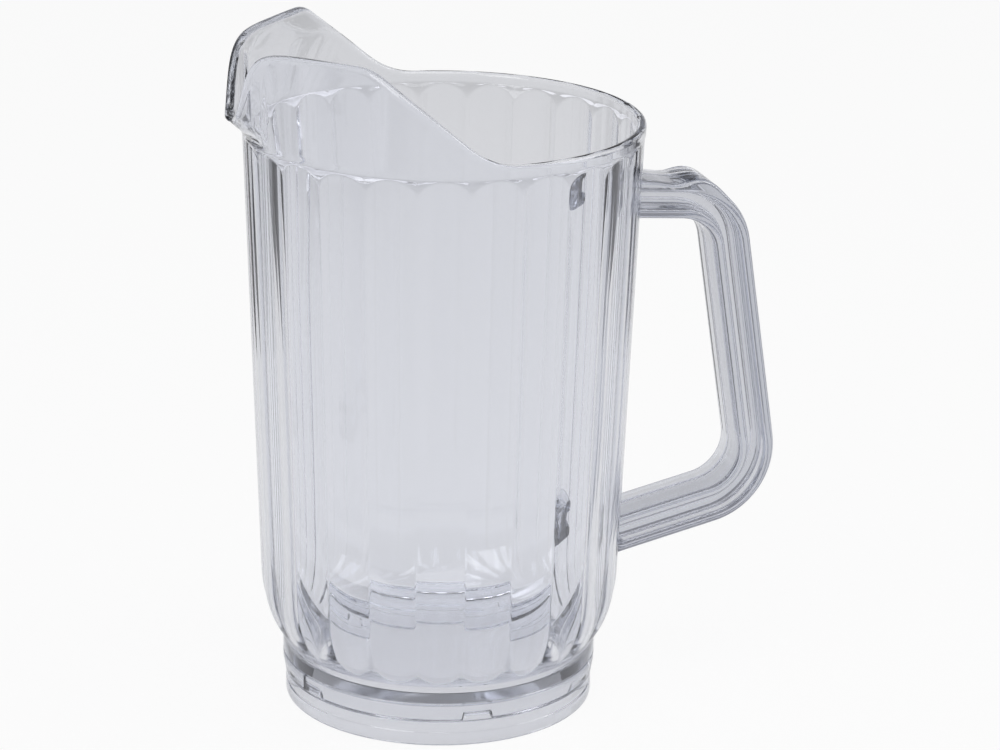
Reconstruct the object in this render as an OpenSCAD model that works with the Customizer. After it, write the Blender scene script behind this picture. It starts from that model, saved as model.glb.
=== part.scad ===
// Clear bar pitcher: tapering wall of convex reeds, raised pouring spout, open handle and foot ring
// Millimetres, +Z up, origin on the body's axis in the plane that the foot stands on
// The handle points along +X and the spout along -X

/* [Body] */
// Height of the level back of the rim
rim_height = 198; // [185:1:215]
// Outer radius at the level back of the rim
rim_radius = 65.3; // [62:0.1:70]
// Outer radius at the foot of the straight wall
shoulder_radius = 59.7; // [57:0.1:62]
// Height of the foot of the straight wall
shoulder_height = 42; // [39:0.5:48]
// Radius of the rounded bottom, seen from the side
bottom_curve = 35.7; // [32:0.1:42]
// How far the neck above the foot is drawn in from the foot of the straight wall
neck_inset = 7.4; // [5:0.1:10]
// Thickness of the plain wall
wall = 3; // [2.4:0.1:4]
// Height of the floor inside
floor_height = 16.4; // [15.6:0.1:19]
// Thickness of the floor
floor_thickness = 2.8; // [2:0.1:3.4]
// Radius of the round between the wall and the floor
floor_round = 5; // [3:0.1:8]

/* [Reeds] */
// Number of reeds round the outside of the wall
reed_count = 24; // [20:2:30]
// Radius that bows a reed, over the round of the wall
reed_round = 27; // [22:0.5:34]
// How far the middle of a reed lies under the plain wall
reed_inset = 0.2; // [0.1:0.05:0.5]
// Drop from the level rim to the tops of the reeds
reed_top_drop = 4; // [3:0.1:8]
// Plain strip between the neck's corner and the lower ends of the reeds
reed_foot_strip = 0.2; // [0.1:0.1:2]
// Radius with which the grooves between the reeds run out at both ends
reed_end_round = 11; // [7:0.5:15]

/* [Spout] */
// Height of the spout's crest above the level rim
crest_rise = 28.4; // [20:0.1:36]
// Slope of the rim where it climbs to the crest, in degrees
climb_slope = 39.4; // [32:0.1:48]
// Distance in front of the axis where the rim starts to climb
climb_start = 1.9; // [0:0.1:8]
// Length over which the foot of the climb is rounded
climb_blend = 7; // [3:0.5:12]
// Length over which the top of the climb is rounded
crest_blend = 3; // [1:0.5:6]
// Distance from the axis to the flat cheeks at the crest
cheek_distance = 58.7; // [56:0.1:61]
// Angle from the spout's middle line to the way that a cheek faces, in degrees
cheek_angle = 42.4; // [38:0.1:46]
// Length over which a cheek flows into the round wall
cheek_blend = 6; // [2:0.5:7]
// Radius of the nose between the cheeks, seen from above
nose_radius = 20; // [15:0.5:26]
// Height over which the nose swells out of the wall
nose_swell = 8.5; // [6:0.5:14]
// Depth of the pouring notch below the crest
notch_depth = 23.7; // [14:0.1:26]
// Half width of the pouring notch at half its depth
notch_half_width = 10.2; // [7:0.1:14]

/* [Handle] */
// Width of the handle across the hand
bar_width = 20; // [16:0.5:24]
// Depth of the handle from finger side to palm side
bar_depth = 12.5; // [11:0.5:15]
// Thickness of the two flanges of the handle
flange = 3.6; // [3:0.1:4.5]
// Depth of the groove in each side of the handle
groove_depth = 5; // [2:0.5:6]
// Radius of the flanges' edges
flange_edge = 1.6; // [0.5:0.1:1.7]
// Radius of the corners at the bottom of a groove
groove_corner = 1.4; // [0.5:0.1:2]
// Drop from the level rim to the middle of the top arm at the wall
top_arm_drop = 29.4; // [25:0.1:40]
// Fall of the top arm away from the wall, in degrees
top_arm_fall = 4; // [0:0.5:8]
// Distance from the axis to the corner between the top arm and the grip
grip_top_reach = 94.6; // [90:0.1:100]
// Lean of the grip away from the body, in degrees
grip_lean = 8.9; // [4:0.1:12]
// Height of the middle of the lower arm at the wall
lower_arm_height = 52.2; // [50:0.1:60]
// Climb of the lower arm away from the wall, in degrees
lower_arm_climb = 13.5; // [6:0.5:20]
// Radius of the top bend, along the middle of the bar
top_bend = 18.5; // [14:0.5:22]
// Radius of the bottom bend, along the middle of the bar
bottom_bend = 20; // [14:0.5:24]
// Distance from the wall along the bar to the peak of the thumb rest
thumb_peak_reach = 20.5; // [17:0.1:22]
// Height of the thumb rest's peak above the top arm
thumb_peak = 1.5; // [0.8:0.1:2]
// Depth of the thumb rest's dish below the top arm
thumb_dish = 0.7; // [0.2:0.1:1.2]
// Half length of the thumb rest's peak, and of its dish
thumb_half = 8.5; // [6:0.1:10]

/* [Foot ring] */
// Height of the seat where the foot ring meets the body
seat_height = 15.2; // [13:0.1:16]
// Height of the upper band of the foot
foot_band = 2.5; // [1.5:0.1:5]
// Height of the standing ring at the bottom of the foot
standing_ring = 5; // [3:0.1:6]
// How far the waist above the standing ring is drawn in
foot_waist = 1.3; // [0.5:0.1:2]
// How far the standing ring swells past the waist
standing_swell = 0.4; // [0.1:0.1:0.8]
// Radius of the edge that the foot stands on
foot_edge = 1.2; // [0.5:0.1:1.6]
// Thickness of the skirt at the bottom
skirt = 3; // [2.4:0.1:3.6]
// Width of the seat round the plug under the floor, which sits in the foot ring
seat_width = 2.4; // [2:0.1:3]
// Width of the foot ring between its inner shoulder and the plug
ring_width = 6.8; // [5:0.1:8]
// Gap between the plug and the foot ring
plug_clearance = 0.15; // [0.1:0.05:0.3]
// Height of the inner shoulder
inner_shoulder = 8.2; // [6:0.1:10]
// Number of drain notches in the inner shoulder
notch_count = 5; // [3:1:8]
// Width of a drain notch
drain_width = 9.5; // [5:0.5:12]
// Height of a drain notch
drain_height = 2.6; // [1.5:0.1:4]
// Ledge between a drain notch and the skirt
drain_ledge = 0.8; // [0.4:0.1:1.5]

/* [Hidden] */
$fn = 96;
clear_plastic = [0.86, 0.87, 0.91, 0.5];

// Surplus that carries a cut or a root past the face it meets
overrun = 2;
// Steps of a rounded corner, and rows of facets in the wall's curved stretches
corner_steps = 3;
end_rows = 2;
curve_rows = 4;
collar_rows = 5;
floor_rows = 3;
// Rows of facets along the handle's top arm, and along each bend
arm_rows = 6;
bend_rows = 9;
// Columns of facets in a reed, and in the reeds under the spout
reed_columns = 4;
spout_columns = 10;
// Power that squares off the sides of the pouring notch
notch_power = 5;
// First drain notch, turned from the handle's side
drain_turn = -90;

radian = 180 / PI;
pitch = 360 / reed_count;

// Straight wall, rounded bottom and neck in section
draft = atan((rim_radius - shoulder_radius) / (rim_height - shoulder_height));
neck_radius = shoulder_radius - neck_inset;
curve_r = shoulder_radius - bottom_curve * cos(draft);
curve_z = shoulder_height + bottom_curve * sin(draft);
neck_angle = acos((neck_radius - curve_r) / bottom_curve);
curve_length = bottom_curve * (neck_angle - draft) / radian;
floor_under = floor_height - floor_thickness;
plug_radius = neck_radius - seat_width;

// Round between the wall and the floor, tangent to the rounded bottom and to the floor
inner_curve = bottom_curve - wall;
floor_lean = asin((curve_z - floor_height - floor_round) / (inner_curve - floor_round));
floor_edge = curve_r + (inner_curve - floor_round) * cos(floor_lean);
curve_end = bottom_curve * (neck_angle - floor_lean) / radian;

// Top of the reeds, by height and along the wall from the neck's corner
reed_top = rim_height - reed_top_drop;
reed_high = curve_length + (reed_top - shoulder_height) / cos(draft);

// Spout, seen from above
crest_height = rim_height + crest_rise;
crest_radius = wall_radius(crest_height);
nose_centre = (cheek_distance - nose_radius) / cos(cheek_angle);

// Handle, in the plane of the spout and the handle
top_arm_height = rim_height - top_arm_drop;
top_root = wall_radius(top_arm_height);
low_root = wall_radius(lower_arm_height);
bar_centre = bar_depth / 2;
grip_top = [grip_top_reach, top_arm_height - (grip_top_reach - top_root) * tan(top_arm_fall)];
grip_low_height = (lower_arm_height + tan(lower_arm_climb)
    * (grip_top[0] + grip_top[1] * tan(grip_lean) - low_root))
    / (1 + tan(grip_lean) * tan(lower_arm_climb));
grip_low = [grip_top[0] + (grip_top[1] - grip_low_height) * tan(grip_lean), grip_low_height];
top_turn = 90 - grip_lean - top_arm_fall;
low_turn = 90 - lower_arm_climb + grip_lean;
top_heading = -top_arm_fall;
grip_heading = top_heading - top_turn;
low_heading = grip_heading - low_turn;
top_tangent = top_bend * tan(top_turn / 2);
low_tangent = bottom_bend * tan(low_turn / 2);

// Smaller of two lengths, rounded where they are within the blend of each other
function soft_min(a, b, blend) =
    min(a, b) - max(blend - abs(a - b), 0) ^ 2 / (4 * blend);

function soft_max(a, b, blend) = -soft_min(-a, -b, blend);

function share_between(low, high, value) = max(0, min(1, (value - low) / (high - low)));

function eased(share) = share * share * (3 - 2 * share);

// Outer radius of the straight wall at a height
function wall_radius(z) = shoulder_radius + (z - shoulder_height) * tan(draft);

// Point on the wall's section, up from the neck's corner and set in under the skin
function skin(up, depth) = up < curve_length
    ? let (a = up / bottom_curve * radian - neck_angle)
        [curve_r + (bottom_curve - depth) * cos(a), curve_z + (bottom_curve - depth) * sin(a)]
    : let (t = up - curve_length)
        [shoulder_radius + t * sin(draft) - depth * cos(draft),
         shoulder_height + t * cos(draft) + depth * sin(draft)];

// How far a reed lies under the plain wall, at an angle from its middle line
function reed_depth(radius, phase) =
    reed_inset + reed_round - sqrt(reed_round ^ 2 - (radius * phase / radian) ^ 2);

// Point on a reed, up along the wall
function reed_point(up, phase) = skin(up, reed_depth(skin(up, 0)[0], phase));

// Depth of the run-out at a distance into the reeds from their end, where a groove has its full depth
function run_out(into, full) = full - (sqrt(2 * reed_end_round * full) - into) ^ 2 / (2 * reed_end_round);

// Distance into the reeds from their end to where the run-out meets a reed
function end_reach(radius, phase) =
    let (full = reed_depth(radius, pitch / 2))
    sqrt(2 * reed_end_round * full) - sqrt(2 * reed_end_round * (full - reed_depth(radius, phase)));

// Point on the run-out, a share of the way from its edge to the reed
function end_point(up, way, share, phase) =
    let (radius = skin(up, 0)[0], into = share * end_reach(radius, phase))
    skin(up + way * into, run_out(into, reed_depth(radius, pitch / 2)));

// Straight stretch of a reed, from the foot of the straight wall to the upper run-out
function reed_line(phase) = [
    reed_point(curve_length, phase),
    reed_point(reed_high - end_reach(wall_radius(reed_top), phase), phase)
];

// Radius of the crest's outline at an angle from the spout's middle line
function cheek_outline(angle, inset) =
    let (nose = nose_radius - inset)
    angle < atan2(nose * sin(cheek_angle), nose_centre + nose * cos(cheek_angle))
        ? nose_centre * cos(angle) + sqrt(nose ^ 2 - (nose_centre * sin(angle)) ^ 2)
        : (cheek_distance - inset) / cos(angle - cheek_angle);

function crest_outline(angle, inset) =
    angle > 90 ? crest_radius - inset
    : angle < cheek_angle ? cheek_outline(angle, inset)
    : soft_min(crest_radius - inset, cheek_outline(angle, inset), cheek_blend);

// Radius of the collar above the reeds, which turns from round to the crest's outline
function collar_radius(angle, z, inset) =
    let (swell = crest_outline(angle, inset) - crest_radius + inset)
    wall_radius(z) - inset / cos(draft)
    + min(swell, 0) * share_between(reed_top, crest_height, z)
    + max(swell, 0) * eased(share_between(reed_top, reed_top + nose_swell, z));

// Height of the rim at an angle from the spout's middle line
function rim_top(angle) =
    let (ahead = crest_outline(angle, 0) * cos(angle))
    let (aside = crest_outline(angle, 0) * sin(angle))
    let (climb = soft_max(0, (ahead - climb_start) * tan(climb_slope), climb_blend))
    let (notch = angle < 90 ? 1 / (1 + (aside / notch_half_width) ^ notch_power) : 0)
    rim_height + soft_min(climb, crest_rise, crest_blend) - notch * notch_depth;

// Columns of facets: the angle from the handle, and the angle from the middle of the reed
wall_columns = [
    for (i = [0 : reed_count - 1])
    let (count = abs(i * pitch - 180) < 1.5 * pitch ? spout_columns : reed_columns)
    for (j = [0 : count - 1])
    let (phase = (j / count - 0.5) * pitch)
    [i * pitch + phase, phase]
];

// Section through the wall at one column, from under the floor, up outside and down inside
function wall_section(column) =
    let (phase = column[1])
    let (angle = 180 - abs(column[0] > 180 ? column[0] - 360 : column[0]))
    let (reed_start = reed_foot_strip + end_reach(skin(reed_foot_strip, 0)[0], phase))
    let (edge = wall / 2, edge_z = rim_top(angle) - wall / 2)
    let (rim_out = collar_radius(angle, edge_z, 0), rim_in = collar_radius(angle, edge_z, wall))
    [
        [plug_radius, floor_under],
        [plug_radius, seat_height],
        [neck_radius, seat_height],
        skin(0, 0),
        for (k = [0 : end_rows - 1]) end_point(reed_foot_strip, 1, k / end_rows, phase),
        for (k = [0 : curve_rows - 1])
            reed_point(reed_start + (curve_length - reed_start) * k / curve_rows, phase),
        each reed_line(phase),
        for (k = [end_rows - 1 : -1 : 1]) end_point(reed_high, -1, k / end_rows, phase),
        for (k = [0 : collar_rows])
            let (z = reed_top + (edge_z - reed_top) * k / collar_rows)
            [collar_radius(angle, z, 0), z],
        for (a = [45 : 45 : 135])
            [(rim_out + rim_in + (rim_out - rim_in) * cos(a)) / 2, edge_z + edge * sin(a)],
        for (k = [0 : collar_rows])
            let (z = edge_z + (reed_top - edge_z) * k / collar_rows)
            [collar_radius(angle, z, wall), z],
        for (k = [0 : curve_rows])
            skin(curve_length + (curve_end - curve_length) * k / curve_rows, wall),
        for (k = [1 : floor_rows])
            let (a = floor_lean + (90 - floor_lean) * k / floor_rows)
            [floor_edge + floor_round * cos(a), floor_height + floor_round * (1 - sin(a))]
    ];

// Two triangles between neighbouring columns, seen from outside
function band(low, low_next, high, high_next) = [[low, high, high_next], [low, high_next, low_next]];

// Closed skin over columns of points that stand side by side, drawn together at two end points
module loft(columns, first, last) {
    rows = len(columns[0]);
    count = len(columns);
    start = count * rows;
    points = [for (c = columns) each c, first, last];
    faces = [
        for (i = [0 : count - 1])
            let (here = i * rows, next = (i + 1) % count * rows)
            each [
                [start, here, next],
                for (k = [0 : rows - 2]) each band(here + k, next + k, here + k + 1, next + k + 1),
                [here + rows - 1, start + 1, next + rows - 1]
            ]
    ];
    polyhedron(points, faces);
}

// Points of a section, turned to their column's angle
function turned(section, angle) = [for (p = section) [p[0] * cos(angle), p[0] * sin(angle), p[1]]];

// Wall, floor, neck and spout as one moulding, lofted from section to section
module body() {
    color(clear_plastic) loft(
        [for (c = wall_columns) turned(wall_section(c), c[0])],
        [0, 0, floor_under],
        [0, 0, floor_height]
    );
}

// The straight wall in the body's own facets, filled in, which shapes the handle's roots
module straight_wall() {
    loft(
        [for (c = wall_columns) turned(reed_line(c[1]), c[0])],
        [0, 0, shoulder_height],
        [0, 0, reed_top]
    );
}

// Outline with each corner rounded to its own radius
function rounded(points, radii) = [
    for (i = [0 : len(points) - 1])
        let (count = len(points), here = points[i], radius = radii[i])
        let (back = points[(i + count - 1) % count] - here, on = points[(i + 1) % count] - here)
        let (a = back / norm(back), b = on / norm(on))
        let (half = acos(a * b) / 2, centre = here + (a + b) / norm(a + b) * radius / sin(half))
        let (from = here + a * radius / tan(half) - centre, to = here + b * radius / tan(half) - centre)
        let (start = atan2(from[1], from[0]), sweep = (atan2(to[1], to[0]) - start + 540) % 360 - 180)
        for (k = [0 : radius > 0 ? corner_steps : 0])
            let (turn = start + sweep * k / corner_steps)
            centre + radius * [cos(turn), sin(turn)]
];

// Section of the handle, by height towards the palm and width: two flanges with a groove in each side
bar_side = bar_width / 2;
bar_web = bar_side - groove_depth;
bar_groove = bar_centre - flange;
bar_outline = rounded(
    [
        [bar_centre, -bar_side], [bar_centre, bar_side], [bar_groove, bar_side], [bar_groove, bar_web],
        [-bar_groove, bar_web], [-bar_groove, bar_side], [-bar_centre, bar_side], [-bar_centre, -bar_side],
        [-bar_groove, -bar_side], [-bar_groove, -bar_web], [bar_groove, -bar_web], [bar_groove, -bar_side]
    ],
    [
        flange_edge, flange_edge, flange_edge, groove_corner, groove_corner, flange_edge,
        flange_edge, flange_edge, flange_edge, groove_corner, groove_corner, flange_edge
    ]
);

// Direction in the handle's plane
function heading(angle) = [cos(angle), sin(angle)];

// Smooth hump of height one, with its half length
function hump(at, middle, half) = abs(at - middle) < half ? (1 + cos(180 * (at - middle) / half)) / 2 : 0;

// Rise of the palm side at a distance from the wall along the bar: a dish, then a peak
function thumb_rise(along) =
    thumb_peak * hump(along, thumb_peak_reach, thumb_half)
    - thumb_dish * hump(along, thumb_peak_reach - thumb_half, thumb_half);

// Stations of the bend that starts at a point: place, heading and distance from the wall
function bend_stations(from, angle, turn, radius, along) = [
    for (k = [0 : bend_rows])
        let (share = k / bend_rows, now = angle - turn * share)
        let (place = from + radius * (heading(angle - 90) + heading(now + 90)))
        [place, now, along + radius * turn * share / radian]
];

// Stations from the top root to the lower root
top_length = norm(grip_top - [top_root, top_arm_height]) - top_tangent;
low_length = norm(grip_low - [low_root, lower_arm_height]);
bar_length = norm(grip_low - grip_top) + top_length + low_length;
bar_stations = [
    [grip_top - heading(top_heading) * (top_length + top_tangent + wall), top_heading, -wall],
    for (k = [0 : arm_rows - 1])
        let (along = top_length * k / arm_rows)
        [grip_top - heading(top_heading) * (top_length + top_tangent - along), top_heading, along],
    each bend_stations(
        grip_top - heading(top_heading) * top_tangent, top_heading, top_turn, top_bend, top_length
    ),
    each bend_stations(
        grip_low - heading(grip_heading) * low_tangent, grip_heading, low_turn, bottom_bend, bar_length
    ),
    [grip_low + heading(low_heading) * (low_length + wall), low_heading, bar_length]
];

// Point of the section at a station, with the upper half of the palm flange raised to the thumb rest
function bar_point(station, p) =
    let (rise = p[0] > bar_centre - flange / 2 ? thumb_rise(station[2]) : 0)
    let (place = station[0] + (p[0] + rise) * heading(station[1] + 90))
    [place[0], -p[1], place[1]];

// Middle of the bar past one end, where its skin is drawn together inside the wall
function bar_end(station, way) =
    let (place = station[0] + way * overrun * heading(station[1]))
    [place[0], 0, place[1]];

// Handle: top arm, grip and lower arm of one section, with roots that fit the wall
module handle() {
    color(clear_plastic) difference() {
        loft(
            [for (p = bar_outline) [for (s = bar_stations) bar_point(s, p)]],
            bar_end(bar_stations[0], -1),
            bar_end(bar_stations[len(bar_stations) - 1], 1)
        );
        straight_wall();
    }
}

// Foot ring: skirt with a standing ring, and an inner shoulder with drain notches round the plug
module foot_ring() {
    waist = neck_radius - foot_waist;
    standing = waist + standing_swell;
    inside = standing - skirt;
    bore = neck_radius - ring_width;
    socket = plug_radius + plug_clearance;
    ledge = floor_under - plug_clearance;
    drain_length = inside - drain_ledge - bore;
    outline = [
        [neck_radius, seat_height],
        [neck_radius, seat_height - foot_band],
        [waist, standing_ring],
        [standing, standing_ring - standing_swell],
        [standing, 0],
        [inside, 0],
        [inside, inner_shoulder],
        [bore, inner_shoulder],
        [bore, ledge],
        [socket, ledge],
        [socket, seat_height]
    ];
    radii = [0, foot_band, 0, 0, foot_edge, foot_edge / 2, 0, 0, 0, 0, 0];
    color(clear_plastic) difference() {
        rotate_extrude() polygon(rounded(outline, radii));
        for (i = [0 : notch_count - 1])
            rotate(drain_turn + i * 360 / notch_count)
                translate([bore - overrun, -drain_width / 2, inner_shoulder - overrun])
                    cube([drain_length + overrun, drain_width, drain_height + overrun]);
    }
}

body();
handle();
foot_ring();
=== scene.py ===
import math

import bmesh
import bpy
import numpy as np
from mathutils import Matrix, Vector


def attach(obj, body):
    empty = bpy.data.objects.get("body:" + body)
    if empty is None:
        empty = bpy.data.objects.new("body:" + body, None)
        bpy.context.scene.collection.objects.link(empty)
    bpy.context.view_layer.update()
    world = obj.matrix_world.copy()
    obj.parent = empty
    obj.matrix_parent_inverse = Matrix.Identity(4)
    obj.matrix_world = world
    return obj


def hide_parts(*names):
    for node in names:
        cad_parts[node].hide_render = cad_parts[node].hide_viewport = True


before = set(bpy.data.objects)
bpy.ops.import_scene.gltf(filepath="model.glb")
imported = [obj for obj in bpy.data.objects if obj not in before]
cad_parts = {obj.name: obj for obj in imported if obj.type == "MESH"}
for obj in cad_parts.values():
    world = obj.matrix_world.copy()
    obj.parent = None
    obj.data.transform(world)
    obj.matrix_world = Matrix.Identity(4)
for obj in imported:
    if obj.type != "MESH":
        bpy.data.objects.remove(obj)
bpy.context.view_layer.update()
scene = bpy.context.scene
mm = 0.001
print("stage: frame loaded")


# small helpers for sizes that blend into each other
def softMin(a, b, blend):
    near = np.maximum(blend - np.abs(a - b), 0.0)
    return np.minimum(a, b) - near * near / (4.0 * blend)


def softMax(a, b, blend):
    return -softMin(-a, -b, blend)


def shareBetween(low, high, value):
    return np.clip((value - low) / (high - low), 0.0, 1.0)


def eased(share):
    return share * share * (3.0 - 2.0 * share)


def roundedLine(points, radii, steps):
    # open outline with its inner corners rounded
    out = [points[0]]
    for before, here, after, radius in zip(points, points[1:], points[2:], radii):
        p, a, b = (np.array(q, float) for q in (here, before, after))
        a = (a - p) / np.linalg.norm(a - p)
        b = (b - p) / np.linalg.norm(b - p)
        half = math.acos(float(np.clip(a @ b, -1, 1))) / 2
        reach = radius / math.tan(half)
        middle = p + (a + b) / np.linalg.norm(a + b) * radius / math.sin(half)
        start, end = p + a * reach - middle, p + b * reach - middle
        fromAngle = math.atan2(start[1], start[0])
        sweep = (math.atan2(end[1], end[0]) - fromAngle + math.pi) % (2 * math.pi) - math.pi
        for k in range(steps + 1):
            turn = fromAngle + sweep * k / steps
            out.append(tuple(middle + radius * np.array([math.cos(turn), math.sin(turn)])))
    out.append(points[-1])
    return out


def gridFaces(rows, columns, first, closed):
    # quads over a grid of points that is stored row by row
    faces = []
    for r in range(rows - 1):
        for c in range(columns if closed else columns - 1):
            n = (c + 1) % columns
            here, up = first + r * columns, first + (r + 1) * columns
            faces.append((here + c, here + n, up + n, up + c))
    return faces


def newPiece(name, mesh):
    piece = bpy.data.objects.new(name, mesh)
    scene.collection.objects.link(piece)
    return piece


def applyTree(piece, tree, values):
    # set the tree's inputs by identifier, turn the result into a plain mesh and drop the modifier
    modifier = piece.modifiers.new(tree.name, "NODES")
    modifier.node_group = tree
    for item in tree.interface.items_tree:
        if item.item_type == "SOCKET" and item.in_out == "INPUT" and item.name in values:
            modifier[item.identifier] = values[item.name]
    bpy.context.view_layer.update()
    evaluated = piece.evaluated_get(bpy.context.evaluated_depsgraph_get())
    made = bpy.data.meshes.new_from_object(evaluated)
    piece.modifiers.remove(modifier)
    old = piece.data
    piece.data = made
    made.name = piece.name
    bpy.data.meshes.remove(old)
    return piece


# camera at the photograph's angle
cameraSet = {
    "place": (-300.33, -1089.21, 482.91),
    "turn": -16.395,  # degrees about the vertical
    "tilt": 18.234,  # degrees below the level
    "roll": 0.9,
    "lens": 130.0,
    "sensor": 36.0,
    "farClip": 50.0,
}
cameraData = bpy.data.cameras.new("photoCamera")
cameraData.lens = cameraSet["lens"]
cameraData.sensor_width = cameraSet["sensor"]
cameraData.clip_end = cameraSet["farClip"]
camera = bpy.data.objects.new("photoCamera", cameraData)
turned = Matrix.Rotation(math.radians(cameraSet["turn"]), 4, "Z")
tilted = Matrix.Rotation(math.radians(90.0 - cameraSet["tilt"]), 4, "X")
rolled = Matrix.Rotation(math.radians(cameraSet["roll"]), 4, "Z")
cameraPlace = Matrix.Translation(Vector(cameraSet["place"]) * mm) @ turned @ tilted @ rolled
camera.matrix_world = cameraPlace
scene.collection.objects.link(camera)
scene.camera = camera
print("stage: camera set")


# clear plastic
plasticSet = {
    "tint": (0.943, 0.953, 0.985, 1.0),
    "roughness": 0.015,
    "waveStrength": 0.06,
    "waveDistance": 0.0004,
    "ior": 1.57,
    "absorb": (0.80, 0.81, 0.84, 1.0),
    "density": 20.0,
    "shadeDensity": 90.0,  # handle and foot absorb more than the body: painted shade on top of the plastic's own tint
    "shadow": (0.8, 0.8, 0.82, 1.0),  # light left by each surface of the cast shadow
}


skinSet = {
    "waveScale": 26.0,
    "waveDetail": 1.0,
    "wearScale": 420.0,
    "wearDetail": 3.0,
    "wearStart": 0.52,
    "wearFull": 0.8,
    "smoothRoughness": 0.01,
    "wornRoughness": 0.06,
}


def makeSkinGroup():
    # moulded skin: faint flow waves in the surface and a haze of fine wear
    group = bpy.data.node_groups.new("mouldedSkin", "ShaderNodeTree")
    for name, value in (
        ("Wave Scale", "waveScale"),
        ("Wear Scale", "wearScale"),
        ("Smooth Roughness", "smoothRoughness"),
        ("Worn Roughness", "wornRoughness"),
    ):
        socket = group.interface.new_socket(name, in_out="INPUT", socket_type="NodeSocketFloat")
        socket.default_value = skinSet[value]
    group.interface.new_socket("Height", in_out="OUTPUT", socket_type="NodeSocketFloat")
    group.interface.new_socket("Roughness", in_out="OUTPUT", socket_type="NodeSocketFloat")
    nodes, links = group.nodes, group.links
    inside = nodes.new("NodeGroupInput")
    outside = nodes.new("NodeGroupOutput")
    place = nodes.new("ShaderNodeTexCoord")
    wave = nodes.new("ShaderNodeTexNoise")
    wave.inputs["Detail"].default_value = skinSet["waveDetail"]
    wear = nodes.new("ShaderNodeTexNoise")
    wear.inputs["Detail"].default_value = skinSet["wearDetail"]
    worn = nodes.new("ShaderNodeMapRange")
    worn.inputs["From Min"].default_value = skinSet["wearStart"]
    worn.inputs["From Max"].default_value = skinSet["wearFull"]
    links.new(place.outputs["Object"], wave.inputs["Vector"])
    links.new(place.outputs["Object"], wear.inputs["Vector"])
    links.new(inside.outputs["Wave Scale"], wave.inputs["Scale"])
    links.new(inside.outputs["Wear Scale"], wear.inputs["Scale"])
    links.new(wear.outputs["Fac"], worn.inputs["Value"])
    links.new(inside.outputs["Smooth Roughness"], worn.inputs["To Min"])
    links.new(inside.outputs["Worn Roughness"], worn.inputs["To Max"])
    links.new(wave.outputs["Fac"], outside.inputs["Height"])
    links.new(worn.outputs["Result"], outside.inputs["Roughness"])
    return group


skinGroup = makeSkinGroup()


def makeClearPlastic(name, sizes):
    material = bpy.data.materials.new(name)
    material.use_nodes = True
    nodes, links = material.node_tree.nodes, material.node_tree.links
    nodes.clear()
    output = nodes.new("ShaderNodeOutputMaterial")
    plastic = nodes.new("ShaderNodeBsdfPrincipled")
    plastic.inputs["Base Color"].default_value = sizes["tint"]
    plastic.inputs["Transmission Weight"].default_value = 1.0
    plastic.inputs["IOR"].default_value = sizes["ior"]
    plastic.inputs["Metallic"].default_value = 0.0
    skin = nodes.new("ShaderNodeGroup")
    skin.node_tree = skinGroup
    skin.inputs["Smooth Roughness"].default_value = sizes["roughness"]
    bump = nodes.new("ShaderNodeBump")
    bump.inputs["Strength"].default_value = sizes["waveStrength"]
    bump.inputs["Distance"].default_value = sizes["waveDistance"]
    links.new(skin.outputs["Height"], bump.inputs["Height"])
    links.new(skin.outputs["Roughness"], plastic.inputs["Roughness"])
    links.new(bump.outputs["Normal"], plastic.inputs["Normal"])
    lampRays = nodes.new("ShaderNodeLightPath")
    letThrough = nodes.new("ShaderNodeBsdfTransparent")
    letThrough.inputs["Color"].default_value = sizes["shadow"]
    mix = nodes.new("ShaderNodeMixShader")
    links.new(lampRays.outputs["Is Shadow Ray"], mix.inputs["Fac"])
    links.new(plastic.outputs["BSDF"], mix.inputs[1])
    links.new(letThrough.outputs["BSDF"], mix.inputs[2])
    links.new(mix.outputs["Shader"], output.inputs["Surface"])
    absorb = nodes.new("ShaderNodeVolumeAbsorption")
    absorb.inputs["Color"].default_value = sizes["absorb"]
    absorb.inputs["Density"].default_value = sizes["density"]
    links.new(absorb.outputs["Volume"], output.inputs["Volume"])
    return material


clearPlastic = makeClearPlastic("clearPlastic", plasticSet)
# the same plastic made darker for the handle and foot, as painted shade
shadedPlastic = makeClearPlastic("shadedPlastic", dict(plasticSet, density=plasticSet["shadeDensity"]))
print("stage: material made")


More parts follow.
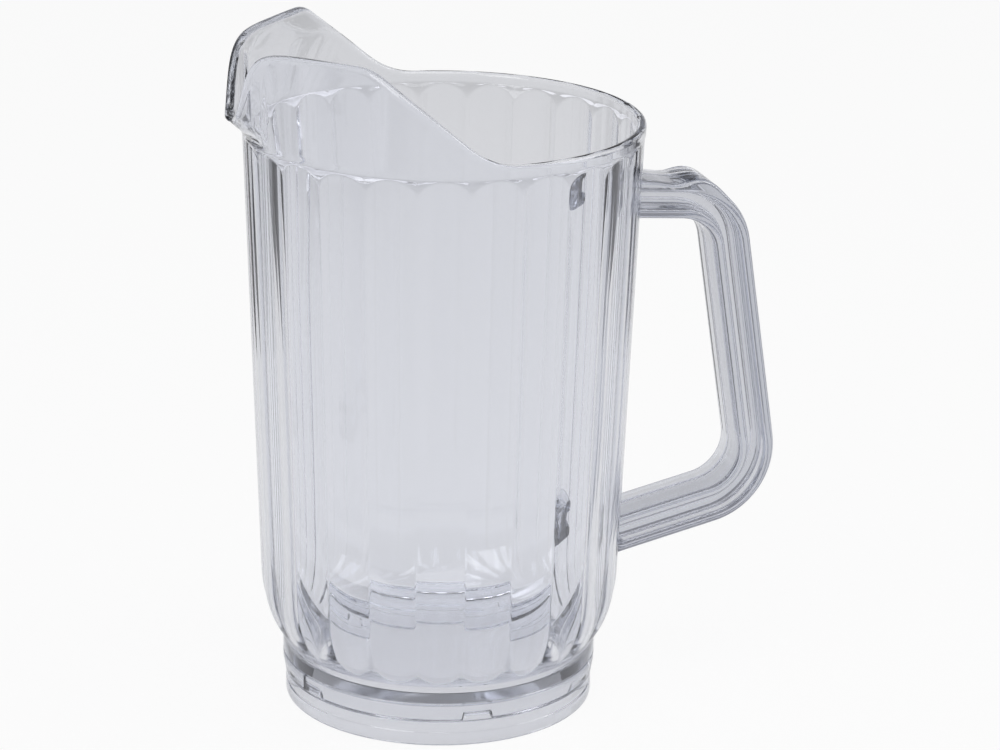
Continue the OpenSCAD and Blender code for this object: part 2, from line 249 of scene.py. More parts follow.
def makeRepeatTree():
    # faces marked repeats are copied round the axis, welded to the rest and smoothed
    tree = bpy.data.node_groups.new("repeatRound", "GeometryNodeTree")
    face = tree.interface
    face.new_socket("Geometry", in_out="INPUT", socket_type="NodeSocketGeometry")
    face.new_socket("Count", in_out="INPUT", socket_type="NodeSocketInt").default_value = 24
    face.new_socket("Weld Distance", in_out="INPUT", socket_type="NodeSocketFloat").default_value = 0.00001
    face.new_socket("Material", in_out="INPUT", socket_type="NodeSocketMaterial")
    face.new_socket("Geometry", in_out="OUTPUT", socket_type="NodeSocketGeometry")
    nodes, links = tree.nodes, tree.links
    start = nodes.new("NodeGroupInput")
    end = nodes.new("NodeGroupOutput")
    marked = nodes.new("GeometryNodeInputNamedAttribute")
    marked.data_type = "BOOLEAN"
    marked.inputs["Name"].default_value = "repeats"
    split = nodes.new("GeometryNodeSeparateGeometry")
    split.domain = "FACE"
    points = nodes.new("GeometryNodePoints")
    index = nodes.new("GeometryNodeInputIndex")
    step = nodes.new("ShaderNodeMath")
    step.operation = "DIVIDE"
    step.inputs[0].default_value = 2 * math.pi
    angle = nodes.new("ShaderNodeMath")
    angle.operation = "MULTIPLY"
    spin = nodes.new("ShaderNodeCombineXYZ")
    copies = nodes.new("GeometryNodeInstanceOnPoints")
    join = nodes.new("GeometryNodeJoinGeometry")
    real = nodes.new("GeometryNodeRealizeInstances")
    weld = nodes.new("GeometryNodeMergeByDistance")
    smooth = nodes.new("GeometryNodeSetShadeSmooth")
    dress = nodes.new("GeometryNodeSetMaterial")
    links.new(start.outputs["Geometry"], split.inputs["Geometry"])
    links.new(marked.outputs["Attribute"], split.inputs["Selection"])
    links.new(start.outputs["Count"], points.inputs["Count"])
    links.new(start.outputs["Count"], step.inputs[1])
    links.new(index.outputs["Index"], angle.inputs[0])
    links.new(step.outputs["Value"], angle.inputs[1])
    links.new(angle.outputs["Value"], spin.inputs["Z"])
    links.new(points.outputs["Points"], copies.inputs["Points"])
    links.new(split.outputs["Selection"], copies.inputs["Instance"])
    links.new(spin.outputs["Vector"], copies.inputs["Rotation"])
    links.new(copies.outputs["Instances"], join.inputs["Geometry"])
    links.new(split.outputs["Inverted"], join.inputs["Geometry"])
    links.new(join.outputs["Geometry"], real.inputs["Geometry"])
    links.new(real.outputs["Geometry"], weld.inputs["Geometry"])
    links.new(start.outputs["Weld Distance"], weld.inputs["Distance"])
    links.new(weld.outputs["Geometry"], smooth.inputs["Geometry"])
    links.new(smooth.outputs["Geometry"], dress.inputs["Geometry"])
    links.new(start.outputs["Material"], dress.inputs["Material"])
    links.new(dress.outputs["Geometry"], end.inputs["Geometry"])
    return tree


repeatTree = makeRepeatTree()

# body: one reed's slice of the wall is made here and repeated round the axis
# the collar with its spout is made whole
bodySet = {
    "rimHeight": 198.0,
    "rimRadius": 65.3,
    "shoulderRadius": 59.7,
    "shoulderHeight": 42.0,
    "bottomCurve": 35.7,
    "neckInset": 7.4,
    "wall": 3.0,
    "floorHeight": 16.4,
    "floorThickness": 2.8,
    "seatHeight": 15.2,
    "seatWidth": 2.4,
    "cornerRound": 0.5,
    "floorRound": 5.0,
    "reedCount": 24,
    "reedRound": 27.0,
    "reedInset": 0.2,
    "reedTopDrop": 4.0,
    "reedFootStrip": 0.2,
    "reedEndRound": 16.0,
    "grooveRound": 0.2,
    "edgeRound": 0.12,
    "reedColumns": 24,
    "neckRows": (0.6, 0.2),  # below the neck's corner
    "neckFlare": 0.02,
    "firstRow": 0.05,
    "endRows": (0.3, 0.8),  # beside each run-out
    "runShares": (0.0, 0.2, 0.4, 0.6, 0.8, 1.0),
    "curveRows": 12,
    "wallRows": 6,
    "insideRows": 5,
    "insideCurveRows": 14,
    "filletRows": 9,
    "floorEdge": 1.5,
    "cornerSteps": 3,
    "collarGap": 0.65,
    "crestRise": 28.4,
    "climbSlope": 39.4,
    "climbStart": 1.9,
    "climbBlend": 7.0,
    "crestBlend": 3.0,
    "cheekDistance": 58.7,
    "cheekAngle": 42.4,
    "cheekBlend": 6.0,
    "noseRadius": 20.0,
    "noseSwell": 8.5,
    "notchDepth": 23.7,
    "notchHalfWidth": 10.2,
    "notchPower": 5.0,
    "spoutZone": 33.75,
    "rimSpread": 0.75,  # share of the rim's columns set by length, not by angle
    "rimSamples": 4001,
    "collarRows": 22,
    "rimSteps": 10,
    "weld": 0.00001,
}
b = bodySet
draft = math.atan((b["rimRadius"] - b["shoulderRadius"]) / (b["rimHeight"] - b["shoulderHeight"]))
neckRadius = b["shoulderRadius"] - b["neckInset"]
curveR = b["shoulderRadius"] - b["bottomCurve"] * math.cos(draft)
curveZ = b["shoulderHeight"] + b["bottomCurve"] * math.sin(draft)
neckAngle = math.acos((neckRadius - curveR) / b["bottomCurve"])
neckCorner = curveZ - b["bottomCurve"] * math.sin(neckAngle)
curveLength = b["bottomCurve"] * (neckAngle - draft)
halfPitch = math.pi / b["reedCount"]
reedTop = b["rimHeight"] - b["reedTopDrop"]
reedHigh = curveLength + (reedTop - b["shoulderHeight"]) / math.cos(draft)
collarFoot = reedTop + b["collarGap"]
crestHeight = b["rimHeight"] + b["crestRise"]
cheekAngle = math.radians(b["cheekAngle"])
noseCentre = (b["cheekDistance"] - b["noseRadius"]) / math.cos(cheekAngle)


def wallRadius(z):
    return b["shoulderRadius"] + (z - b["shoulderHeight"]) * math.tan(draft)


crestRadius = wallRadius(crestHeight)


def skin(up, depth):
    # point on the wall's section, up from the neck's corner and set in under the skin
    a = up / b["bottomCurve"] - neckAngle
    t = up - curveLength
    isRound = up < curveLength
    r = np.where(
        isRound,
        curveR + (b["bottomCurve"] - depth) * np.cos(a),
        b["shoulderRadius"] + t * math.sin(draft) - depth * math.cos(draft),
    )
    z = np.where(
        isRound,
        curveZ + (b["bottomCurve"] - depth) * np.sin(a),
        b["shoulderHeight"] + t * math.cos(draft) + depth * math.sin(draft),
    )
    return r, z


def reedDepth(phase, radius):
    # how far the reeds lie under the plain wall at an angle from a reed's middle, with rounded grooves
    bow = b["reedRound"]

    def fall(beside):
        return bow - np.sqrt(bow**2 - beside**2)

    beside = radius * np.abs(phase)
    return b["reedInset"] + softMin(fall(beside), fall(2 * radius * halfPitch - beside), b["grooveRound"])


def reedRow(up, phase):
    # row of points across a reed, up along the wall, where the grooves run out at the neck and the collar
    up = np.asarray(up, float) + np.zeros_like(phase)
    depth = reedDepth(phase, skin(up, 0.0)[0])
    for into, radius in ((up - b["reedFootStrip"], neckRadius), (reedHigh - up, wallRadius(reedTop))):
        full = reedDepth(halfPitch, radius)
        past = into - math.sqrt(2 * b["reedEndRound"] * full)
        runOut = full + past * np.abs(past) / (2 * b["reedEndRound"])
        depth = softMin(depth, softMax(runOut, 0.0, b["edgeRound"]), b["edgeRound"])
    return skin(up, depth)


def endReach(phase, radius):
    # distance from the end of the reeds to where the run-out meets a reed
    full, depth = reedDepth(halfPitch, radius), reedDepth(phase, radius)
    bow = 2 * b["reedEndRound"]
    return np.sqrt(bow * full) - np.sqrt(bow * np.maximum(full - depth, 0.0))


def cheekOutline(angle, inset):
    nose = b["noseRadius"] - inset
    tangent = np.arctan2(nose * math.sin(cheekAngle), noseCentre + nose * math.cos(cheekAngle))
    roundPart = noseCentre * np.cos(angle) + np.sqrt(
        np.maximum(nose**2 - (noseCentre * np.sin(angle)) ** 2, 0.0)
    )
    flatPart = (b["cheekDistance"] - inset) / np.cos(np.minimum(angle - cheekAngle, 1.2))
    return np.where(angle < tangent, roundPart, flatPart)


def crestOutline(angle, inset):
    cheek = cheekOutline(angle, inset)
    blended = softMin(crestRadius - inset, cheek, b["cheekBlend"])
    return np.where(
        angle > math.pi / 2,
        crestRadius - inset,
        np.where(angle < cheekAngle, cheek, blended),
    )


def collarRadius(angle, z, inset):
    # angle is measured from the spout's middle line
    angle = np.abs(angle)
    swell = crestOutline(angle, inset) - crestRadius + inset
    return (
        wallRadius(z)
        - inset / math.cos(draft)
        + np.minimum(swell, 0) * shareBetween(collarFoot, crestHeight, z)
        + np.maximum(swell, 0) * eased(shareBetween(collarFoot, reedTop + b["noseSwell"], z))
    )


def rimTop(angle):
    angle = np.abs(angle)
    outline = crestOutline(angle, 0.0)
    ahead, aside = outline * np.cos(angle), outline * np.sin(angle)
    slope = math.tan(math.radians(b["climbSlope"]))
    climb = softMax(0.0, (ahead - b["climbStart"]) * slope, b["climbBlend"])
    notch = np.where(
        angle < math.pi / 2, 1 / (1 + (np.maximum(aside, 0) / b["notchHalfWidth"]) ** b["notchPower"]), 0.0
    )
    return b["rimHeight"] + softMin(climb, b["crestRise"], b["crestBlend"]) - notch * b["notchDepth"]


def collarPoint(angle, z, inset):
    # the spout points along -X, so its angle runs from there
    r = collarRadius(angle, z, inset)
    return np.stack([-r * np.cos(angle), -r * np.sin(angle), z], -1)


def makeSlice():
    # one reed's slice: from under the floor up the reeded outside,
    # and from the collar down the plain inside to the floor
    spread = np.sin(np.linspace(-1, 1, b["reedColumns"] + 1) * math.pi / 2)
    phase = spread * halfPitch
    flat = np.zeros_like(phase)
    seat, under = b["seatHeight"], b["floorHeight"] - b["floorThickness"]
    plug = neckRadius - b["seatWidth"]
    c = b["cornerRound"]
    lowNeck, highNeck = (neckCorner - drop for drop in b["neckRows"])
    foot = [(0.0, under), (plug / 2, under)] + roundedLine(
        [(plug - 3 * c, under), (plug, under), (plug, seat), (neckRadius, seat), (neckRadius, lowNeck)],
        [c, c, c],
        b["cornerSteps"],
    )
    outer = [(flat + r, flat + high) for r, high in foot + [(neckRadius + b["neckFlare"], highNeck)]]
    # lower run-out, rounded bottom, straight wall and upper run-out
    low = b["reedFootStrip"] + endReach(phase, neckRadius)
    high = reedHigh - endReach(phase, wallRadius(reedTop))
    runs = b["runShares"]
    beside, past = b["endRows"]
    bends, straights = b["curveRows"], b["wallRows"]
    ups = [flat + b["firstRow"]] + [b["reedFootStrip"] + (low - b["reedFootStrip"]) * k for k in runs]
    ups += [low + beside, low + past]
    ups += [low + past + (curveLength - low - past) * k / bends for k in range(1, bends)]
    ups += [curveLength + (high - past - curveLength) * k / straights for k in range(straights + 1)]
    ups += [high - beside] + [high + (reedHigh - high) * (1 - k) for k in reversed(runs)]
    ups.append(reedHigh + beside)
    outer += [reedRow(up, phase) for up in ups]
    outer.append((flat + wallRadius(collarFoot), flat + collarFoot))
    # plain inside, then the fillet that is tangent to the rounded bottom and to the floor
    wall = b["wall"]
    inner = b["bottomCurve"] - wall
    fillet = b["floorRound"]
    floorZ = b["floorHeight"] + fillet
    lean = math.asin((curveZ - floorZ) / (inner - fillet))
    rows = []
    for height in np.linspace(collarFoot, b["shoulderHeight"], b["insideRows"])[:-1]:
        rows.append((flat + wallRadius(height) - wall / math.cos(draft), flat + height))
    for up in np.linspace(curveLength, (neckAngle - lean) * b["bottomCurve"], b["insideCurveRows"]):
        rows.append(skin(flat + up, flat + wall))
    filletR = curveR + (inner - fillet) * math.cos(lean)
    for a in np.linspace(lean, math.pi / 2, b["filletRows"])[1:]:
        rows.append((flat + filletR + fillet * math.cos(a), flat + floorZ - fillet * math.sin(a)))
    for r in (filletR - b["floorEdge"], filletR / 2, 0.0):
        rows.append((flat + r, flat + b["floorHeight"]))
    return phase, outer, rows


def rimAngles(columns):
    # angles of the rim's columns: at the spout they share out the rim's length,
    # and elsewhere they follow the reeds
    zone = math.radians(b["spoutZone"])
    fine = np.linspace(-zone, zone, b["rimSamples"])
    top = rimTop(fine)
    points = collarPoint(fine, top, b["wall"] / 2)
    run = np.concatenate([[0], np.cumsum(np.linalg.norm(np.diff(points, axis=0), axis=1))])
    inZone = np.abs(columns) <= zone + 1e-6
    out = columns.copy()
    share = (columns[inZone] + zone) / (2 * zone)
    plain = columns[inZone]
    spread = np.interp(share * run[-1], run, fine)
    out[inZone] = (1 - b["rimSpread"]) * plain + b["rimSpread"] * spread
    return out


def makeCollar(columns):
    # columns are angles from the spout's middle line
    wall = b["wall"]
    half = wall / 2
    angle = rimAngles(columns)
    step, drop = 1e-4, 0.05  # small moves that give the rim's directions
    top = rimTop(angle)
    crest = collarPoint(angle, top, half)
    ahead, behind = angle + step, angle - step
    along = collarPoint(ahead, rimTop(ahead), half) - collarPoint(behind, rimTop(behind), half)
    along /= np.linalg.norm(along, axis=1)[:, None]
    across = collarPoint(ahead, top, half) - collarPoint(behind, top, half)
    upward = collarPoint(angle, top, half) - collarPoint(angle, top - drop, half)
    out = np.cross(across, upward)
    out /= np.linalg.norm(out, axis=1)[:, None]
    out *= np.sign(np.sum(out[:, :2] * crest[:, :2], axis=1))[:, None]
    lift = np.cross(along, out)
    lift /= np.linalg.norm(lift, axis=1)[:, None]
    lift *= np.sign(lift[:, 2])[:, None]
    middle = crest - lift * half
    rows = []
    outerEdge = middle + out * half
    innerEdge = middle - out * half
    edgeAngle = np.arctan2(-outerEdge[:, 1], -outerEdge[:, 0])
    innerAngle = np.arctan2(-innerEdge[:, 1], -innerEdge[:, 0])
    edgeAngle = columns + (edgeAngle - columns + math.pi) % (2 * math.pi) - math.pi
    innerAngle = columns + (innerAngle - columns + math.pi) % (2 * math.pi) - math.pi
    count = b["collarRows"]
    for k in range(count):
        share = k / count
        a = columns + (edgeAngle - columns) * share
        z = collarFoot + (outerEdge[:, 2] - collarFoot) * share
        rows.append(collarPoint(a, z, 0.0))
    for k in range(b["rimSteps"] + 1):
        turnBy = math.pi * k / b["rimSteps"]
        rows.append(middle + half * (out * math.cos(turnBy) + lift * math.sin(turnBy)))
    for k in range(1, count + 1):
        share = k / count
        a = innerAngle + (columns - innerAngle) * share
        z = innerEdge[:, 2] + (collarFoot - innerEdge[:, 2]) * share
        rows.append(collarPoint(a, z, wall))
    return rows


def makeBody():
    phase, outer, inside = makeSlice()
    columns = len(phase)
    points, faces, marks = [], [], []
    for rows in (outer, inside):
        first = len(points)
        for r, z in rows:
            points += [(r[c] * math.cos(phase[c]), r[c] * math.sin(phase[c]), z[c]) for c in range(columns)]
        new = gridFaces(len(rows), columns, first, False)
        faces += new
        marks += [True] * len(new)
    # angles of all columns from the spout, once round
    around = np.array(
        [2 * halfPitch * i + p - math.pi for i in range(b["reedCount"]) for p in phase[:-1]]
    )
    around = np.where(around > math.pi, around - 2 * math.pi, around)
    rows = makeCollar(around)
    first = len(points)
    for row in rows:
        points += [tuple(p) for p in row]
    new = gridFaces(len(rows), len(around), first, True)
    faces += new
    marks += [False] * len(new)
    mesh = bpy.data.meshes.new("body")
    mesh.from_pydata((np.array(points) * mm).tolist(), [], faces)
    mark = mesh.attributes.new("repeats", "BOOLEAN", "FACE")
    mark.data.foreach_set("value", marks)
    piece = newPiece("clearBody", mesh)
    applyTree(
        piece,
        repeatTree,
        {"Count": b["reedCount"], "Weld Distance": b["weld"], "Material": clearPlastic},
    )
    return piece


clearBody = makeBody()
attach(clearBody, "root")
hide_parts("body")
print("stage: body made,", len(clearBody.data.polygons), "faces")

# handle: a bar of one section swept along a filleted path, with a thumb rest raised on it
handleSet = {
    "width": 20.0,
    "depth": 12.5,
    "flange": 3.6,
    "grooveDepth": 5.0,
    "flangeEdge": 1.6,
    "grooveCorner": 1.4,
    "topArmDrop": 29.4,
    "topArmFall": 4.0,
    "gripTopReach": 94.6,
    "gripLean": 8.9,
    "lowerArmHeight": 52.2,
    "lowerArmClimb": 13.5,
    "topBend": 18.5,
    "bottomBend": 20.0,
    "bendSteps": 24,
    "thumbReach": 20.5,
    "thumbPeak": 1.5,
    "thumbDish": 0.7,
    "thumbHalf": 8.5,
    "flatShares": (0.3, 0.6),
    "edgeSteps": 6,
    "rootSink": 2.4,
    "rootRounds": 12,
    "station": 1.2,
}
h = handleSet


def makeHandle():
    half, side = h["depth"] / 2, h["width"] / 2
    web, groove = side - h["grooveDepth"], half - h["flange"]
    edge, corner = h["flangeEdge"], h["grooveCorner"]
    # half of the section's outline, then its mirror image
    right = roundedLine(
        [
            (half, 0.0),
            (half, side),
            (groove, side),
            (groove, web),
            (-groove, web),
            (-groove, side),
            (-half, side),
            (-half, 0.0),
        ],
        [edge, edge, corner, corner, edge, edge],
        h["edgeSteps"],
    )
    palmSide = [(half, side * share) for share in h["flatShares"]]
    fingerSide = [(-half, side * share) for share in reversed(h["flatShares"])]
    right = [right[0]] + palmSide + right[1:-1] + fingerSide + [right[-1]]
    outline = np.array(right + [(x, -y) for x, y in right[-2:0:-1]])
    # path in the plane of the spout and the handle
    rad = math.radians
    armZ = b["rimHeight"] - h["topArmDrop"]
    topRoot, lowRoot = wallRadius(armZ), wallRadius(h["lowerArmHeight"])
    fall, lean, climb = (math.tan(rad(h[name])) for name in ("topArmFall", "gripLean", "lowerArmClimb"))
    top = np.array([h["gripTopReach"], armZ - (h["gripTopReach"] - topRoot) * fall])
    lowZ = (h["lowerArmHeight"] + climb * (top[0] + top[1] * lean - lowRoot)) / (1 + lean * climb)
    low = np.array([top[0] + (top[1] - lowZ) * lean, lowZ])
    headings = [-rad(h["topArmFall"])]
    turns = [rad(90 - h["gripLean"] - h["topArmFall"]), rad(90 - h["lowerArmClimb"] + h["gripLean"])]
    headings += [headings[0] - turns[0], headings[0] - turns[0] - turns[1]]
    bends = [h["topBend"], h["bottomBend"]]
    ways = [np.array([math.cos(a), math.sin(a)]) for a in headings]
    tangents = [r * math.tan(t / 2) for r, t in zip(bends, turns)]
    root = np.array([topRoot, armZ])
    foot = np.array([lowRoot, h["lowerArmHeight"]])
    stations = []  # place, heading, distance from the wall

    def straight(start, end, heading, along):
        length = np.linalg.norm(end - start)
        steps = max(2, int(length / h["station"] / 2))
        for k in range(steps):
            stations.append((start + (end - start) * k / steps, heading, along + length * k / steps))
        return along + length

    def bend(start, heading, turnBy, radius, along):
        def sideways(a):
            return np.array([math.cos(a + math.pi / 2), math.sin(a + math.pi / 2)])

        for k in range(h["bendSteps"]):
            share = k / h["bendSteps"]
            now = heading - turnBy * share
            place = start + radius * (sideways(now) - sideways(heading))
            stations.append((place, now, along + radius * turnBy * share))
        return along + radius * turnBy

    along = straight(root, top - ways[0] * tangents[0], headings[0], 0.0)
    along = bend(top - ways[0] * tangents[0], headings[0], turns[0], bends[0], along)
    along = straight(top + ways[1] * tangents[0], low - ways[1] * tangents[1], headings[1], along)
    along = bend(low - ways[1] * tangents[1], headings[1], turns[1], bends[1], along)
    along = straight(low + ways[2] * tangents[1], foot, headings[2], along)
    stations.append((foot, headings[2], along))

    def hump(at, middle):
        return (1 + math.cos(math.pi * min(abs(at - middle) / h["thumbHalf"], 1.0))) / 2

    rings = []
    for place, heading, at in stations:
        dish = h["thumbDish"] * hump(at, h["thumbReach"] - h["thumbHalf"])
        rise = h["thumbPeak"] * hump(at, h["thumbReach"]) - dish
        palm = outline[:, 0] > half - h["flange"] / 2
        tall = outline[:, 0] + np.where(palm, rise, 0.0)
        x = place[0] - tall * math.sin(heading)
        z = place[1] + tall * math.cos(heading)
        rings.append(np.stack([x, -outline[:, 1], z], -1))
    # both ends are slid along the bar until they sit inside the wall
    for ring, way in ((rings[0], -ways[0]), (rings[-1], ways[2])):
        slide = np.zeros(len(ring))
        for _ in range(h["rootRounds"]):
            z = ring[:, 2] + slide * way[1]
            target = np.sqrt((wallRadius(z) - h["rootSink"]) ** 2 - ring[:, 1] ** 2)
            slide = (target - ring[:, 0]) / way[0]
        ring[:, 0] += slide * way[0]
        ring[:, 2] += slide * way[1]
    points = np.concatenate(rings)
    count = len(outline)
    faces = gridFaces(len(rings), count, 0, True)
    faces.append(tuple(range(count - 1, -1, -1)))
    faces.append(tuple(range(len(points) - count, len(points))))
    mesh = bpy.data.meshes.new("handle")
    mesh.from_pydata((points * mm).tolist(), [], faces)
    shaped = bmesh.new()
    shaped.from_mesh(mesh)
    bmesh.ops.triangulate(shaped, faces=[f for f in shaped.faces if len(f.verts) > 4])
    bmesh.ops.recalc_face_normals(shaped, faces=shaped.faces)
    shaped.to_mesh(mesh)
    shaped.free()
    mesh.polygons.foreach_set("use_smooth", [True] * len(mesh.polygons))
    mesh.materials.append(shadedPlastic)
    return newPiece("clearHandle", mesh)


clearHandle = makeHandle()
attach(clearHandle, "root")
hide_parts("handle")
print("stage: handle made,", len(clearHandle.data.polygons), "faces")

# foot ring: one sector with a drain notch, repeated round the axis
footSet = {
    "band": 2.5,
    "standing": 5.0,
    "waist": 1.3,
    "swell": 0.4,
    "skirt": 3.0,
    "width": 6.8,
    "shoulder": 8.2,
    "notchCount": 5,
    "firstNotch": -90.0,
    "drainWidth": 9.5,
    "drainHeight": 2.6,
    "drainLedge": 0.8,
    "lap": 0.06,  # sunk into the body, so that the joint lets light through as a weld does
    "columns": 44,
    "notchColumns": 7,
    "notchSide": 0.25,
    "notchLean": 0.01,
    "ceilingGap": 0.02,
    "seatJoin": 1.2,
    "seatRound": 0.4,
    "bandRound": 2.4,
    "fineRound": 0.3,
    "standingRound": 1.2,
    "skirtRound": 0.6,
    "shoulderRound": 0.5,
    "ledgeRound": 0.2,
    "ceilingRound": 0.004,
    "roundSteps": 3,
    "weld": 0.000004,
}
f = footSet


def makeFoot():
    waist = neckRadius - f["waist"]
    standing = waist + f["swell"]
    inside = standing - f["skirt"]
    seat = b["seatHeight"] + f["lap"]
    ledge = inside - f["drainLedge"]
    bore = neckRadius - f["width"]
    socket = neckRadius - b["seatWidth"] - f["lap"]
    rest = b["floorHeight"] - b["floorThickness"] + f["lap"]
    halfSector = math.pi / f["notchCount"]
    halfNotch = f["drainWidth"] / 2 / ledge
    side = f["notchSide"] / ledge
    # columns crowd at the notch's sides
    angles = np.concatenate(
        [
            np.linspace(-halfSector, -halfNotch - side, f["columns"] // 2),
            [-halfNotch],
            np.linspace(-halfNotch + side, halfNotch - side, f["notchColumns"]),
            [halfNotch],
            np.linspace(halfNotch + side, halfSector, f["columns"] // 2),
        ]
    )
    notch = eased(shareBetween(halfNotch + side, halfNotch - side, np.abs(angles)))
    lines = []
    for share in notch:
        ceiling = f["shoulder"] + f["ceilingGap"] + f["drainHeight"] * share
        join = (neckRadius - f["seatJoin"], seat)
        # corners from the seat down the outside and up the inside, each with its round
        corners = [
            (neckRadius, seat, f["seatRound"]),
            (neckRadius, seat - f["band"], f["bandRound"]),
            (waist, f["standing"], f["fineRound"]),
            (standing, f["standing"] - f["swell"], f["fineRound"]),
            (standing, 0.0, f["standingRound"]),
            (inside, 0.0, f["skirtRound"]),
            (inside, f["shoulder"], f["shoulderRound"]),
            (ledge, f["shoulder"], f["ledgeRound"]),
            (ledge - f["notchLean"], ceiling, f["ceilingRound"]),
            (bore, ceiling, f["fineRound"]),
            (bore, rest, f["fineRound"]),
            (socket, rest, f["fineRound"]),
            (socket, seat, f["fineRound"]),
        ]
        places = [join] + [(r, z) for r, z, _ in corners] + [join]
        line = roundedLine(places, [radius for _, _, radius in corners], f["roundSteps"])
        lines.append(line)
    rows = len(lines[0])
    points = []
    for r in range(rows):
        for angle, line in zip(angles, lines):
            turnTo = angle + math.radians(f["firstNotch"])
            points.append((line[r][0] * math.cos(turnTo), line[r][0] * math.sin(turnTo), line[r][1]))
    faces = [tuple(reversed(q)) for q in gridFaces(rows, len(angles), 0, False)]
    mesh = bpy.data.meshes.new("foot")
    mesh.from_pydata((np.array(points) * mm).tolist(), [], faces)
    mark = mesh.attributes.new("repeats", "BOOLEAN", "FACE")
    mark.data.foreach_set("value", [True] * len(faces))
    piece = newPiece("clearFoot", mesh)
    applyTree(
        piece,
        repeatTree,
        {"Count": f["notchCount"], "Weld Distance": f["weld"], "Material": shadedPlastic},
    )
    return piece


clearFoot = makeFoot()
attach(clearFoot, "root")
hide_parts("foot_ring")
print("stage: foot made,", len(clearFoot.data.polygons), "faces")

# floor, light and background
studioSet = {
    "floorSize": 12.0,
    "floorColour": (0.8, 0.8, 0.8, 1.0),
    "paintRoughness": 0.9,
    "floorShine": 0.1,
    "cameraGlow": 0.92,  # share of plain white in the floor that the camera sees
    "plasticGlow": 0.44,  # and that the plastic sees
    # height above the horizon, grey
    "dome": ((0.0, 1.0), (0.04, 0.9), (0.16, 0.45), (0.5, 0.3), (1.0, 0.25)),
    "domeTint": (0.97, 0.97, 1.0),
    "lamps": (
        # place, aim, size, power
        ("keySoftbox", (-1.1, -0.7, 1.2), (0.0, 0.0, 0.1), (0.7, 1.0), 7.0),
        ("fillSoftbox", (1.2, -0.4, 1.0), (0.0, 0.0, 0.1), (0.6, 1.0), 5.0),
        ("topSoftbox", (0.1, -0.5, 1.7), (0.0, 0.0, 0.0), (1.2, 1.0), 8.0),
    ),
}


def makeFloor():
    mesh = bpy.data.meshes.new("floor")
    size = studioSet["floorSize"]
    corners = [(-size, -size, 0), (size, -size, 0), (size, size, 0), (-size, size, 0)]
    mesh.from_pydata(corners, [], [(0, 1, 2, 3)])
    floor = newPiece("floor", mesh)
    material = bpy.data.materials.new("paleFloor")
    material.use_nodes = True
    nodes, links = material.node_tree.nodes, material.node_tree.links
    paint = nodes["Principled BSDF"]
    paint.inputs["Base Color"].default_value = studioSet["floorColour"]
    paint.inputs["Roughness"].default_value = studioSet["paintRoughness"]
    paint.inputs["Specular IOR Level"].default_value = studioSet["floorShine"]
    white = nodes.new("ShaderNodeEmission")
    rays = nodes.new("ShaderNodeLightPath")

    def calc(operation, *values):
        node = nodes.new("ShaderNodeMath")
        node.operation = operation
        for socket, value in zip(node.inputs, values):
            if isinstance(value, (int, float)):
                socket.default_value = value
            else:
                links.new(value, socket)
        return node.outputs["Value"]

    # the camera sees it near white and the plastic less so, and its paint takes the object's shadow
    looks = calc("MAXIMUM", rays.outputs["Is Glossy Ray"], rays.outputs["Is Transmission Ray"])
    looks = calc("MULTIPLY", looks, studioSet["plasticGlow"])
    shown = calc("MULTIPLY", rays.outputs["Is Camera Ray"], studioSet["cameraGlow"])
    mix = nodes.new("ShaderNodeMixShader")
    links.new(calc("MAXIMUM", looks, shown), mix.inputs["Fac"])
    links.new(paint.outputs["BSDF"], mix.inputs[1])
    links.new(white.outputs["Emission"], mix.inputs[2])
    links.new(mix.outputs["Shader"], nodes["Material Output"].inputs["Surface"])
    mesh.materials.append(material)


makeFloor()

# grey cards that darken the plastic's edges; only the plastic sees them
cardSet = {
    "inner": 0.24,
    "outer": 0.6,
    "behind": 0.28,
    "height": 0.6,
    "colour": (0.06, 0.06, 0.065, 1.0),
}


def makeCard(name, side):
    # stands behind the object, just outside the picture
    across = cameraPlace.col[0].to_2d().normalized() * side
    away = -cameraPlace.col[2].to_2d().normalized() * cardSet["behind"]
    near, far = (across * reach + away for reach in (cardSet["inner"], cardSet["outer"]))
    corners = [(p.x, p.y, z) for z in (0.0, cardSet["height"]) for p in (near, far)]
    mesh = bpy.data.meshes.new(name)
    mesh.from_pydata(corners, [], [(0, 1, 3, 2)])
    material = bpy.data.materials.new(name)
    material.use_nodes = True
    paint = material.node_tree.nodes["Principled BSDF"]
    paint.inputs["Base Color"].default_value = cardSet["colour"]
    paint.inputs["Roughness"].default_value = studioSet["paintRoughness"]
    mesh.materials.append(material)
    card = newPiece(name, mesh)
    card.visible_camera = False
    card.visible_shadow = False
    card.visible_diffuse = False


makeCard("leftCard", -1.0)
makeCard("rightCard", 1.0)


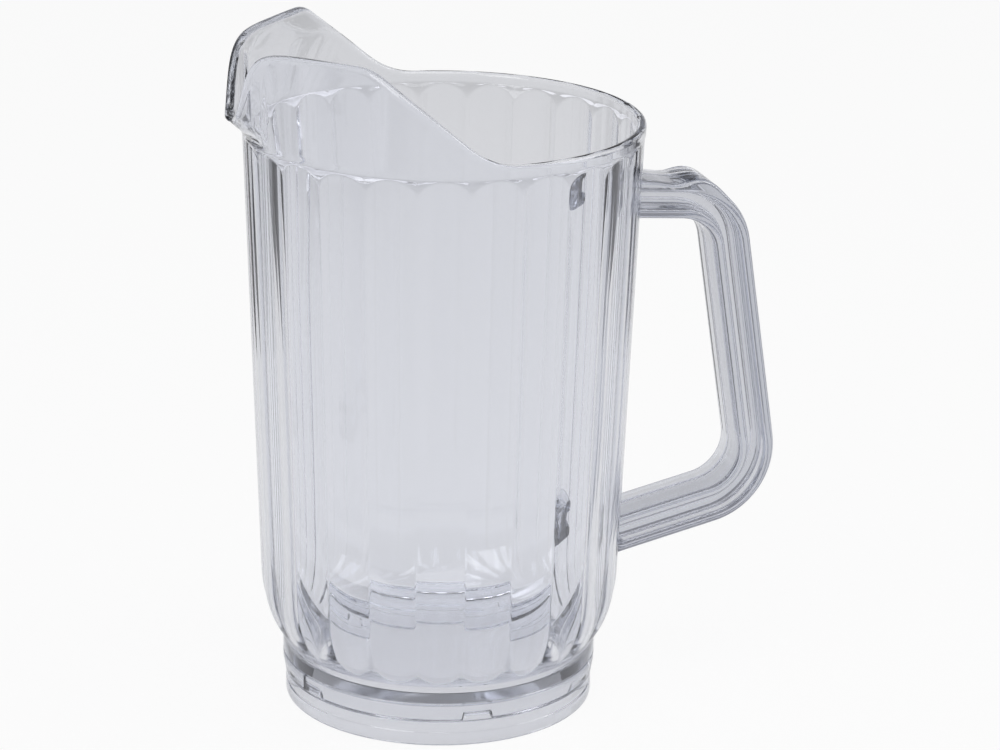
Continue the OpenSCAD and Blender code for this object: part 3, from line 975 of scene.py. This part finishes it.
def makeWorld():
    # the camera sees white, the object a studio that is bright at the horizon and dim overhead
    world = bpy.data.worlds.new("studio")
    scene.world = world
    world.use_nodes = True
    nodes, links = world.node_tree.nodes, world.node_tree.links
    nodes.clear()
    output = nodes.new("ShaderNodeOutputWorld")
    shown = nodes.new("ShaderNodeBackground")
    shown.inputs["Color"].default_value = (1, 1, 1, 1)
    light = nodes.new("ShaderNodeBackground")
    way = nodes.new("ShaderNodeTexCoord")
    split = nodes.new("ShaderNodeSeparateXYZ")
    ramp = nodes.new("ShaderNodeValToRGB")
    stops = ramp.color_ramp.elements
    while len(stops) < len(studioSet["dome"]):
        stops.new(0.5)
    for stop, (height, grey) in zip(stops, studioSet["dome"]):
        stop.position = height
        stop.color = tuple(grey * t for t in studioSet["domeTint"]) + (1.0,)
    links.new(way.outputs["Generated"], split.inputs["Vector"])
    links.new(split.outputs["Z"], ramp.inputs["Fac"])
    links.new(ramp.outputs["Color"], light.inputs["Color"])
    rays = nodes.new("ShaderNodeLightPath")
    mix = nodes.new("ShaderNodeMixShader")
    links.new(rays.outputs["Is Camera Ray"], mix.inputs["Fac"])
    links.new(light.outputs["Background"], mix.inputs[1])
    links.new(shown.outputs["Background"], mix.inputs[2])
    links.new(mix.outputs["Shader"], output.inputs["Surface"])


makeWorld()


def makeLamp(name, place, target, size, power):
    data = bpy.data.lights.new(name, "AREA")
    data.shape = "RECTANGLE"
    data.size, data.size_y = size
    data.energy = power
    lamp = bpy.data.objects.new(name, data)
    way = Vector(target) - Vector(place)
    lamp.matrix_world = Matrix.Translation(place) @ way.to_track_quat("-Z", "Y").to_matrix().to_4x4()
    lamp.visible_camera = False
    scene.collection.objects.link(lamp)


for lampSet in studioSet["lamps"]:
    makeLamp(*lampSet)

scene.view_settings.view_transform = "Standard"
scene.cycles.max_bounces = 32
scene.cycles.transmission_bounces = 24
scene.cycles.glossy_bounces = 24  # light that runs inside a wall is reflected many times
scene.cycles.transparent_max_bounces = 24
print("stage: studio set")
